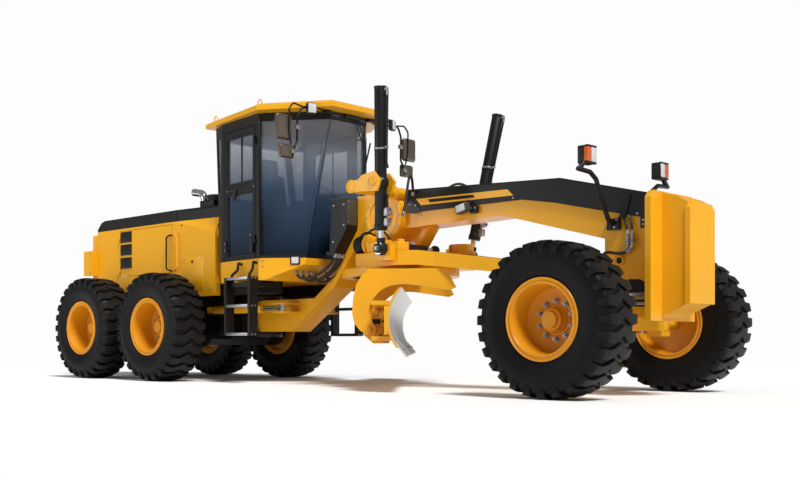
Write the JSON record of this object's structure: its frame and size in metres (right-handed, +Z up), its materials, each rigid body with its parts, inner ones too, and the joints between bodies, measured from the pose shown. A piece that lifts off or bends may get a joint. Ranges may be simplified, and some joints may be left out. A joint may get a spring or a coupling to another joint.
{
  "type": "motor grader",
  "caption": "Articulated road grader with an arched front beam, a glazed cab, a curved blade slung under the beam on a turning ring, and large treaded wheels.",
  "frame": {"origin": "on the ground at the centre of the bounding box", "axes": "+X forward, +Y to the machine's left, +Z up; the pictured side is -Y"},
  "size_m": [9.04, 2.9538, 3.215],
  "materials": {
    "amber_paint": "gloss",
    "charcoal_paint": "satin",
    "black_paint": "satin",
    "tyre": "matte",
    "glass": "gloss",
    "seat_cloth": "matte",
    "black_plastic": "matte",
    "chrome": "polished",
    "bright_steel": "satin",
    "engine_iron": "satin"
  },
  "bodies": {
    "rear": {"rear_chassis": "black_paint", "tandem_drive": "black_paint", "engine": "engine_iron", "hood_panels": "amber_paint", "hood_cover": "charcoal_paint", "rear_cowl": "amber_paint", "radiator_grille": "charcoal_paint", "exhaust_pipe": "chrome", "air_cleaner": "black_plastic", "cab_frame": "charcoal_paint", "cab_glass": "glass", "cab_base": "amber_paint", "cab_roof": "amber_paint", "seat_cushions": "seat_cloth", "cab_controls": "black_plastic", "cab_steps": "black_paint", "cab_mirrors": "black_paint"},
    "wheel_rear_right": {"tyre_rear_right": "tyre", "rim_rear_right": "amber_paint"},
    "wheel_rear_left": {"tyre_rear_left": "tyre", "rim_rear_left": "amber_paint"},
    "wheel_middle_right": {"tyre_middle_right": "tyre", "rim_middle_right": "amber_paint"},
    "wheel_middle_left": {"tyre_middle_left": "tyre", "rim_middle_left": "amber_paint"},
    "wheel_front_right": {"tyre_front_right": "tyre", "rim_front_right": "amber_paint"},
    "wheel_front_left": {"tyre_front_left": "tyre", "rim_front_left": "amber_paint"},
    "cab_door_right": {"cab_door_right": "charcoal_paint", "door_glass_right": "glass"},
    "cab_door_left": {"cab_door_left": "charcoal_paint", "door_glass_left": "glass"},
    "engine_door_right": {"engine_door_right": "amber_paint"},
    "engine_door_left": {"engine_door_left": "amber_paint"},
    "front": {"front_frame": "amber_paint", "frame_cover": "charcoal_paint", "valve_box": "black_paint", "counterweight": "amber_paint", "front_axle": "amber_paint", "headlamp_posts": "black_paint", "lift_yoke": "amber_paint"},
    "knuckle_right": {"knuckle_right": "amber_paint"},
    "knuckle_left": {"knuckle_left": "amber_paint"},
    "tie_rod": {"tie_rod": "bright_steel"},
    "drawbar": {"drawbar": "amber_paint"},
    "circle": {"circle": "amber_paint"},
    "tilt_frame": {"tilt_frame": "amber_paint"},
    "blade": {"moldboard": "amber_paint", "cutting_edge": "bright_steel"},
    "lift_barrel_right": {"lift_barrel_right": "amber_paint"},
    "lift_barrel_left": {"lift_barrel_left": "amber_paint"},
    "lift_rod_right": {"lift_rod_right": "bright_steel"},
    "lift_rod_left": {"lift_rod_left": "bright_steel"},
    "art_barrel_right": {"art_barrel_right": "amber_paint"},
    "art_barrel_left": {"art_barrel_left": "amber_paint"},
    "art_rod_right": {"art_rod_right": "bright_steel"},
    "art_rod_left": {"art_rod_left": "bright_steel"}
  },
  "joints": [
    {"name": "wheel_rear_right_spin", "type": "hinge", "parent": "rear", "child": "wheel_rear_right", "pos_m": [-3.54, -1.08, 0.674], "axis": [0, 1, 0], "continuous": true},
    {"name": "wheel_rear_left_spin", "type": "hinge", "parent": "rear", "child": "wheel_rear_left", "pos_m": [-3.54, 1.08, 0.674], "axis": [0, 1, 0], "continuous": true},
    {"name": "wheel_middle_right_spin", "type": "hinge", "parent": "rear", "child": "wheel_middle_right", "pos_m": [-2, -1.08, 0.674], "axis": [0, 1, 0], "continuous": true},
    {"name": "wheel_middle_left_spin", "type": "hinge", "parent": "rear", "child": "wheel_middle_left", "pos_m": [-2, 1.08, 0.674], "axis": [0, 1, 0], "continuous": true},
    {"name": "wheel_front_right_spin", "type": "hinge", "parent": "knuckle_right", "child": "wheel_front_right", "pos_m": [3.73, -1.08, 0.674], "axis": [0, 1, 0], "continuous": true},
    {"name": "wheel_front_left_spin", "type": "hinge", "parent": "knuckle_left", "child": "wheel_front_left", "pos_m": [3.73, 1.08, 0.674], "axis": [0, 1, 0], "continuous": true},
    {"name": "articulation", "type": "hinge", "parent": "rear", "child": "front", "pos_m": [-1.21, 0, 0.8065], "axis": [0, 0, 1], "range_deg": [-25, 25]},
    {"name": "steer_right", "type": "hinge", "parent": "front", "child": "knuckle_right", "pos_m": [3.73, -0.76, 0.674], "axis": [0, 0, 1], "range_deg": [-38, 38]},
    {"name": "steer_left", "type": "hinge", "parent": "front", "child": "knuckle_left", "pos_m": [3.73, 0.76, 0.674], "axis": [0, 0, 1], "range_deg": [-38.5, 38.5]},
    {"name": "tie_rod_slide", "type": "slide", "parent": "front", "child": "tie_rod", "axis": [0, 1, 0], "range_m": [-0.14, 0.14]},
    {"name": "blade_lift", "type": "hinge", "parent": "front", "child": "drawbar", "pos_m": [3.46, 0, 1.16], "axis": [0, 1, 0], "range_deg": [-15, 2]},
    {"name": "circle_turn", "type": "hinge", "parent": "drawbar", "child": "circle", "pos_m": [1.03, 0, 1.237], "axis": [0, 0, 1], "range_deg": [-88, 5]},
    {"name": "blade_tilt", "type": "hinge", "parent": "circle", "child": "tilt_frame", "pos_m": [0.79818, -0.19042, 0.6], "axis": [0.6347, -0.7727, 0], "range_deg": [-30, 4]},
    {"name": "blade_side_shift", "type": "slide", "parent": "tilt_frame", "child": "blade", "axis": [0.6347, -0.7727, 0], "range_m": [-0.6, 0.6]},
    {"name": "lift_barrel_right_swing", "type": "hinge", "parent": "front", "child": "lift_barrel_right", "pos_m": [1.5138, -0.8446, 2.11], "axis": [0.8264, 0.5626, -0.0243], "range_deg": [-7, 2]},
    {"name": "lift_barrel_left_swing", "type": "hinge", "parent": "front", "child": "lift_barrel_left", "pos_m": [1.5138, 0.8446, 2.11], "axis": [-0.8264, 0.5626, 0.0243], "range_deg": [-7, 2]},
    {"name": "lift_rod_right_slide", "type": "slide", "parent": "lift_barrel_right", "child": "lift_rod_right", "axis": [-0.1247, 0.1408, -0.9822], "range_m": [-0.09, 0.62]},
    {"name": "lift_rod_left_slide", "type": "slide", "parent": "lift_barrel_left", "child": "lift_rod_left", "axis": [-0.1247, -0.1408, -0.9822], "range_m": [-0.09, 0.62]},
    {"name": "art_barrel_right_swing", "type": "hinge", "parent": "rear", "child": "art_barrel_right", "pos_m": [-1.82, -0.42, 0.89], "axis": [0, 0, 1], "range_deg": [-14, 14]},
    {"name": "art_barrel_left_swing", "type": "hinge", "parent": "rear", "child": "art_barrel_left", "pos_m": [-1.82, 0.42, 0.89], "axis": [0, 0, 1], "range_deg": [-14, 14]},
    {"name": "art_rod_right_slide", "type": "slide", "parent": "art_barrel_right", "child": "art_rod_right", "axis": [0.9999, 0.0148, 0], "range_m": [-0.19, 0.19]},
    {"name": "art_rod_left_slide", "type": "slide", "parent": "art_barrel_left", "child": "art_rod_left", "axis": [0.9999, -0.0148, 0], "range_m": [-0.19, 0.19]},
    {"name": "cab_door_right_swing", "type": "hinge", "parent": "rear", "child": "cab_door_right", "pos_m": [-0.4895, -0.8274, 2.236], "axis": [0, 0, 1], "range_deg": [0, 80]},
    {"name": "cab_door_left_swing", "type": "hinge", "parent": "rear", "child": "cab_door_left", "pos_m": [-0.4895, 0.8274, 2.236], "axis": [0, 0, -1], "range_deg": [0, 80]},
    {"name": "engine_door_right_swing", "type": "hinge", "parent": "rear", "child": "engine_door_right", "pos_m": [-3.607, -0.636, 1.705], "axis": [0, 0, -1], "range_deg": [0, 100]},
    {"name": "engine_door_left_swing", "type": "hinge", "parent": "rear", "child": "engine_door_left", "pos_m": [-3.607, 0.636, 1.705], "axis": [0, 0, 1], "range_deg": [0, 100]}
  ],
  "couplings": [
    {"joint": "steer_left", "follows": "steer_right", "ratio": 1},
    {"joint": "tie_rod_slide", "follows": "steer_right", "m_per_rad": -0.2},
    {"joint": "lift_barrel_right_swing", "follows": "blade_lift", "ratio": 0.3441},
    {"joint": "lift_barrel_left_swing", "follows": "blade_lift", "ratio": 0.3441},
    {"joint": "lift_rod_right_slide", "follows": "blade_lift", "m_per_rad": -2.0166},
    {"joint": "lift_rod_left_slide", "follows": "blade_lift", "m_per_rad": -2.0166},
    {"joint": "art_barrel_right_swing", "follows": "articulation", "ratio": 0.5491},
    {"joint": "art_barrel_left_swing", "follows": "articulation", "ratio": 0.5491},
    {"joint": "art_rod_right_slide", "follows": "articulation", "m_per_rad": 0.4068},
    {"joint": "art_rod_left_slide", "follows": "articulation", "m_per_rad": -0.4068}
  ]
}
